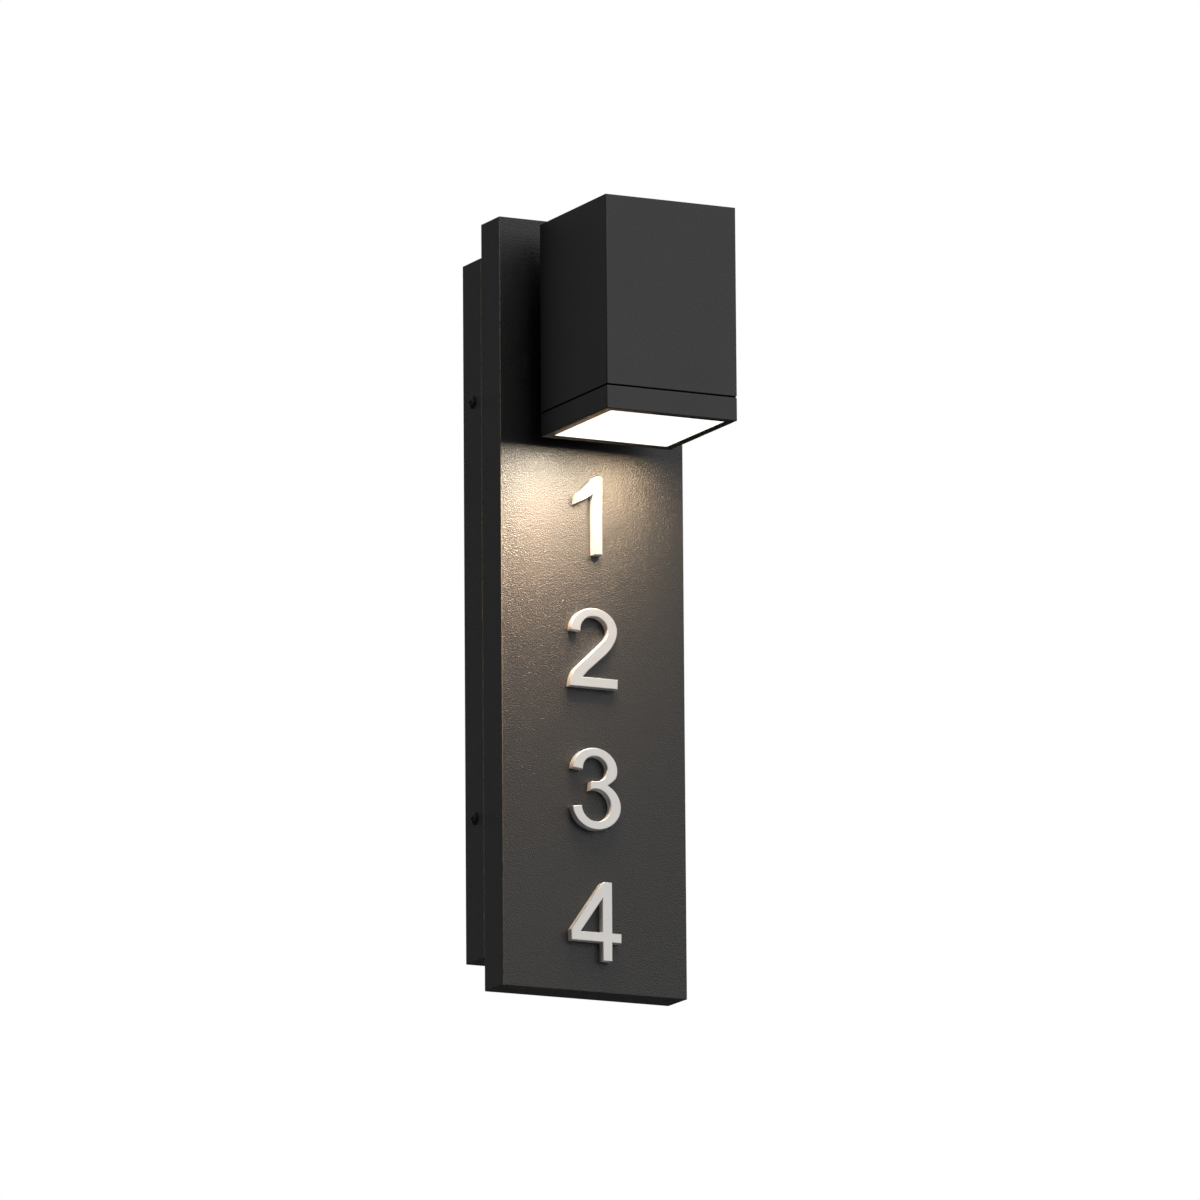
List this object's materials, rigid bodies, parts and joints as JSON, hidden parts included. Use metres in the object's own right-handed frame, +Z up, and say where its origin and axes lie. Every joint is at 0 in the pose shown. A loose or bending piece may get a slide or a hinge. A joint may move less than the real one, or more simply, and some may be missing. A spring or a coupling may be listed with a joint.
{
  "type": "outdoor wall sconce",
  "caption": "Square downlight head held off a tall slim panel with raised metal numerals, on a shallow wall canopy.",
  "frame": {"origin": "centre of the junction box, on the wall plane behind the middle of the canopy", "axes": "+Z up along the panel, +Y into the wall, so the lit front looks along -Y; +X to the viewer's right"},
  "size_m": [0.1236, 0.155, 0.46],
  "materials": {
    "black_powder_coat": "matte black fine-textured powder coat",
    "pale_satin_metal": "satin off-white metal with a fine chamfer",
    "zinc_steel": "zinc-plated steel",
    "bare_aluminium": "bare sheet and extruded aluminium",
    "green_steel": "green earth screw",
    "green_insulation": "green wire insulation and crimped lug",
    "black_insulation": "wire insulation",
    "red_insulation": "wire insulation",
    "black_foam": "closed-cell foam rubber",
    "grey_silicone": "silicone rubber",
    "opal_acrylic": "opal diffusing acrylic, lit from inside",
    "white_plastic": "white moulded plastic",
    "white_board": "white-masked aluminium circuit board",
    "led_phosphor": "yellow LED phosphor"
  },
  "bodies": {
    "root": {"mounting_plate": "zinc_steel", "ground_screw": "green_steel", "ground_lead": "green_insulation", "wall_canopy": "black_powder_coat", "canopy_gasket": "black_foam", "canopy_side_screws": "black_powder_coat", "canopy_screws": "zinc_steel", "terminal_block": "white_plastic", "terminal_screws": "zinc_steel", "supply_leads": "black_insulation", "wire_grommet": "black_foam", "panel_back_cover": "bare_aluminium", "cover_screws": "zinc_steel", "face_panel": "black_powder_coat", "digit_1": "pale_satin_metal", "digit_2": "pale_satin_metal", "digit_3": "pale_satin_metal", "digit_4": "pale_satin_metal", "digit_nuts": "zinc_steel", "led_driver": "white_plastic", "driver_screws": "zinc_steel", "led_leads": "red_insulation", "head_neck": "black_powder_coat", "neck_gaskets": "black_foam", "neck_screws": "zinc_steel", "head_housing": "black_powder_coat", "heat_sink": "bare_aluminium", "heat_sink_screws": "zinc_steel", "led_board": "white_board", "led_chips": "led_phosphor", "engine_screws": "zinc_steel", "reflector": "white_plastic", "lens_gasket": "grey_silicone", "lens": "opal_acrylic", "bezel": "black_powder_coat", "bezel_screws": "black_powder_coat"}
  },
  "joints": []
}
